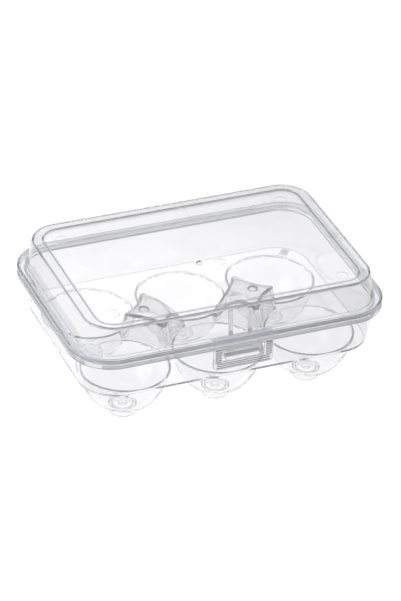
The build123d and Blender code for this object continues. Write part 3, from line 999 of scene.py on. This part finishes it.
# painted shade: the thicker and doubled stretches of the two mouldings are painted greyer, and their edges and marks
# darker, with copies of the clear plastic
inner = outline(PANEL_A - 1.0, PANEL_B - 1.0, PANEL_R - 1.0)[0]
step = outline(PANEL_A + 1.3, PANEL_B + 1.3, PANEL_R + 1.3)[0]
crest = outline(TOP_A - 0.75, TOP_B - 0.75, TOP_R - 0.75)[0]
foot_line = outline(DECK_A - 0.9, DECK_B - 0.9, DECK_R - 0.9)[0]
for o, extra in ((tray_obj, (RIM_SHADE_MAT, POST_SHADE_MAT, FOOT_SHADE_MAT, CORNER_SHADE_MAT, SKIRT_SHADE_MAT, RING_SHADE_MAT, CREST_SHADE_MAT, WALL_SHADE_MAT, DECK_SHADE_MAT)),
                 (lid_obj, (RIM_SHADE_MAT, BORDER_SHADE_MAT, CORNER_SHADE_MAT, SKIRT_SHADE_MAT, WALL_SHADE_MAT))):
    for m_ in extra:
        o.data.materials.append(m_)


def outward(f):
    """How far a face on a rim looks away from the middle of the box."""
    x, y = f.center[0] * 1000 / RIM_A ** 2, (f.center[1] * 1000 - YM) / RIM_B ** 2
    return (f.normal.x * x + f.normal.y * y) / math.hypot(x, y)


for f in tray_obj.data.polygons:
    x, y, z = (c * 1000 for c in f.center)
    # rim faces get painted shade: the greyer rim copy outside, the dark skirt copy on the inward faces and the rim's
    # bottom
    if z > Z_RIM_LOW - 0.1 and (abs(x) > MOUTH_A - 1.1 or abs(y - YM) > MOUTH_B - 1.1 or z > Z_PLATE + 0.2):
        f.material_index = 5 if (abs(f.normal.z) < 0.6 and outward(f) < 0) or z < Z_RIM_LOW + 0.35 else 1
    # divider posts get the greyer painted shade
    elif z > Z_DTOP + 0.15 and abs(x) < 45 and abs(y - YM) < 30:
        f.material_index = 2
    # cup feet get the greyer painted shade, with a near-black painted shade ring where the foot ring meets the bowl
    elif z < 4.1:
        cx, cy = min(CUPS.values(), key=lambda c: (c[0] - x) ** 2 + (c[1] - y) ** 2)
        rad = math.hypot(x - cx, y - cy)
        f.material_index = 6 if (z > 1.9 and FOOT_RI - 0.5 < rad < FOOT_R - 0.5) or (z > 3.2 and rad > FOOT_R - 0.2) else 3
    # the fillet where the deck's underside meets the outer wall gets the dark painted shade
    elif Z_DECK - 0.05 < z < Z_DECK + 0.6 and not inside(x, y, foot_line):
        f.material_index = 4
    # tray walls get the greyer painted shade
    elif z > Z_DTOP + 0.6 and abs(f.normal.z) < 0.5:
        f.material_index = 8
    # flat faces get the slightly greyer painted shade, the deck's moulding mark the dark corner copy
    elif z > Z_DECK - 0.05 and abs(f.normal.z) > 0.97:
        f.material_index = 4 if math.hypot(x - MARK[0], y - MARK[1]) < 2.2 else 9
# listed edge faces get the near-black painted shade line
for i in tray.line:
    tray_obj.data.polygons[i].material_index = 7
for f in lid_obj.data.polygons:
    x, y, z = (c * 1000 for c in f.center)
    # the lid's rim likewise: greyer painted shade outside, dark painted shade on the inward faces and the rim's bottom
    if z < Z_LRIM_TOP + 0.1:
        f.material_index = 4 if (abs(f.normal.z) < 0.6 and outward(f) < 0) or z < Z_LRIM_LOW + 0.35 else 1
    # the lid's border band gets the greyer painted shade, its step and crest the dark corner copy as painted shade
    # lines
    elif z > Z_BORDER - 1.2 and not inside(x, y, inner):
        f.material_index = 2
        if Z_BORDER + 0.1 < z < Z_TOP - 0.06 and (inside(x, y, step) or not inside(x, y, crest)) and z > Z_TOP - 0.95:
            f.material_index = 3
    # the lid's ejector marks and walls get the greyer painted shade
    elif any(e[2] - 0.36 < math.hypot(x - e[0], y - e[1]) < e[2] + 0.36 for e in EJ) and z < Z_BORDER - 0.5:
        f.material_index = 5
    elif z < Z_BORDER - 1.2:
        f.material_index = 5
finish_with(flap_obj, LATCH_MAT)
flap_obj.data.materials.append(GRIP_SHADE_MAT)
# the grip flanks get the near-black painted shade
for i in flap.line:
    flap_obj.data.polygons[i].material_index = 1
for o in (web_obj, back_obj):
    finish_with(o, WEB_MAT)
for o in ribs + [catch_obj]:
    finish_with(o, RIB_MAT)

# ------------------------------------------------------------------ stage
floor_me = bpy.data.meshes.new("floor")
S = 1.6
floor_me.from_pydata([(-S, -S, -0.0005), (S, -S, -0.0005), (S, S, -0.0005), (-S, S, -0.0005)], [], [(0, 1, 2, 3)])
floor = bpy.data.objects.new("floor", floor_me)
bpy.context.scene.collection.objects.link(floor)
fm = bpy.data.materials.new("floor")
fm.use_nodes = True
b = fm.node_tree.nodes["Principled BSDF"]
b.inputs["Base Color"].default_value = (0.1, 0.1, 0.1, 1)
b.inputs["Roughness"].default_value = 0.9
b.inputs["Specular IOR Level"].default_value = 0.0
b.inputs["Emission Color"].default_value = (1, 1, 1, 1)
b.inputs["Emission Strength"].default_value = 0.0
FLOOR_DIRECT, FLOOR_LIGHT, FLOOR_FAR = 1.0, 1.05, 0.5
fn = fm.node_tree
glow = fn.nodes.new("ShaderNodeEmission")
geo = fn.nodes.new("ShaderNodeTexCoord")
place = fn.nodes.new("ShaderNodeMapping")
place.inputs["Location"].default_value = (0.08, 0.03, 0)
fn.links.new(geo.outputs["Object"], place.inputs["Vector"])
leng = fn.nodes.new("ShaderNodeVectorMath")
leng.operation = "LENGTH"
fn.links.new(place.outputs[0], leng.inputs[0])
fall = fn.nodes.new("ShaderNodeMapRange")
fall.interpolation_type = "SMOOTHSTEP"
fall.inputs["From Min"].default_value, fall.inputs["From Max"].default_value = 0.08, 0.42
fall.inputs["To Min"].default_value, fall.inputs["To Max"].default_value = FLOOR_LIGHT, FLOOR_FAR
fn.links.new(leng.outputs["Value"], fall.inputs["Value"])
path = fn.nodes.new("ShaderNodeLightPath")
pick = fn.nodes.new("ShaderNodeMix")
fn.links.new(path.outputs["Is Camera Ray"], pick.inputs["Factor"])
fn.links.new(fall.outputs[0], pick.inputs["A"])
pick.inputs["B"].default_value = FLOOR_DIRECT
fn.links.new(pick.outputs["Result"], glow.inputs["Strength"])
both = fn.nodes.new("ShaderNodeAddShader")
fn.links.new(b.outputs[0], both.inputs[0])
fn.links.new(glow.outputs[0], both.inputs[1])
fn.links.new(both.outputs[0], fn.nodes["Material Output"].inputs[0])
floor.data.materials.append(fm)

world = bpy.data.worlds.new("world")
bpy.context.scene.world = world
world.use_nodes = True
nt = world.node_tree
nt.nodes.clear()
tc = nt.nodes.new("ShaderNodeTexCoord")
sep = nt.nodes.new("ShaderNodeSeparateXYZ")
ramp = nt.nodes.new("ShaderNodeValToRGB")
bg = nt.nodes.new("ShaderNodeBackground")
wo = nt.nodes.new("ShaderNodeOutputWorld")
nt.links.new(tc.outputs["Generated"], sep.inputs[0])
nt.links.new(sep.outputs[2], ramp.inputs[0])
nt.links.new(ramp.outputs[0], bg.inputs[0])
nt.links.new(bg.outputs[0], wo.inputs[0])
r = ramp.color_ramp
r.elements[0].position = 0.0
r.elements[0].color = (0.06, 0.06, 0.068, 1)
r.elements[1].position = 0.8
r.elements[1].color = (0.27, 0.27, 0.285, 1)
e = r.elements.new(0.3)
e.color = (0.12, 0.12, 0.132, 1)

def area(name, loc, rot, size, power, size_y=None):
    l = bpy.data.lights.new(name, "AREA")
    l.shape = "RECTANGLE"
    l.size = size
    l.size_y = size_y or size
    l.energy = power
    o = bpy.data.objects.new(name, l)
    o.location = loc
    o.rotation_euler = rot
    bpy.context.scene.collection.objects.link(o)
    return o

def aim(name, loc, size, size_y, radiance, target=(0, 0, 0.03)):
    o = area(name, loc, (0, 0, 0), size, radiance * math.pi * size * size_y, size_y)
    d = Vector(target) - Vector(loc)
    o.rotation_euler = d.to_track_quat("-Z", "Y").to_euler()
    return o

aim("back_soft", (0.44, 1.0, 0.71), 1.0, 0.6, 1.3)
aim("top_soft", (-0.2, -0.2, 1.2), 0.7, 0.5, 0.5)
aim("left_soft", (-1.1, -0.1, 0.45), 0.9, 0.8, 1.8)

# ------------------------------------------------------------------ camera
def camera():
    az, el, roll = math.radians(-24.13), math.radians(33.01), math.radians(3.06)
    fpx, dist, tx, ty = 3361.96, 1696.48, 1.09, 10.02
    back = Vector((math.sin(az) * math.cos(el), -math.cos(az) * math.cos(el), math.sin(el)))
    right = Vector((math.cos(az), math.sin(az), 0))
    up = back.cross(right)
    r2 = math.cos(roll) * right + math.sin(roll) * up
    u2 = -math.sin(roll) * right + math.cos(roll) * up
    rows_y = (CUPS["front", "middle"][1] + CUPS["back", "middle"][1]) / 2
    pos = back * dist + r2 * tx + u2 * ty + Vector((0, rows_y, Z_DTOP))
    cam = bpy.data.cameras.new("camera")
    cam.sensor_width = 36.0
    cam.lens = fpx * 36.0 / 601.0
    cam.clip_start, cam.clip_end = 0.05, 20
    o = bpy.data.objects.new("camera", cam)
    m = Matrix.Identity(4)
    for i in range(3):
        m[i][0], m[i][1], m[i][2], m[i][3] = r2[i], u2[i], back[i], pos[i] / 1000
    o.matrix_world = m
    bpy.context.scene.collection.objects.link(o)
    bpy.context.scene.camera = o

camera()
sc = bpy.context.scene
sc.view_settings.view_transform = "Standard"
sc.view_settings.look = "None"
sc.cycles.max_bounces = 32
sc.cycles.transmission_bounces = 32
sc.cycles.glossy_bounces = 12
sc.cycles.transparent_max_bounces = 32
sc.cycles.diffuse_bounces = 3
